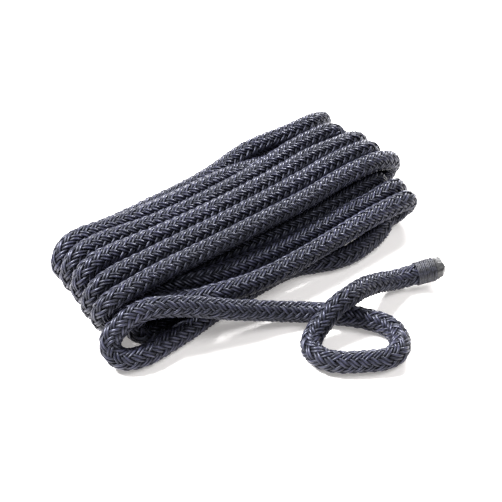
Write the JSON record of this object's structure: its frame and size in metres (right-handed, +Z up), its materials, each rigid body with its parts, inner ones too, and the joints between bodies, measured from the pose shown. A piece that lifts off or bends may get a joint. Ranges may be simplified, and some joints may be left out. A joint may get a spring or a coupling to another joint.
{
  "type": "coiled dock line",
  "caption": "Double-braid nylon dock line, 12.7 mm across, folded into a flat hank with one loose end looped in front; both ends are whipped and sealed.",
  "frame": {"origin": "centre of the footprint, on the surface that the rope lies on", "axes": "+Z up; X along the hank's runs; -Y towards the loose tail"},
  "size_m": [0.24, 0.2066, 0.0406],
  "materials": {
    "rope_cover": "satin",
    "whipping_twine": "matte",
    "sealed_tip": "satin"
  },
  "bodies": {
    "root": {"hank": "rope_cover", "front_turns": "rope_cover", "tail": "rope_cover", "tail_stub": "rope_cover", "tail_whipping": "whipping_twine", "tail_tip": "sealed_tip", "inner_tail": "rope_cover", "inner_whipping": "whipping_twine", "inner_tip": "sealed_tip"}
  },
  "joints": []
}
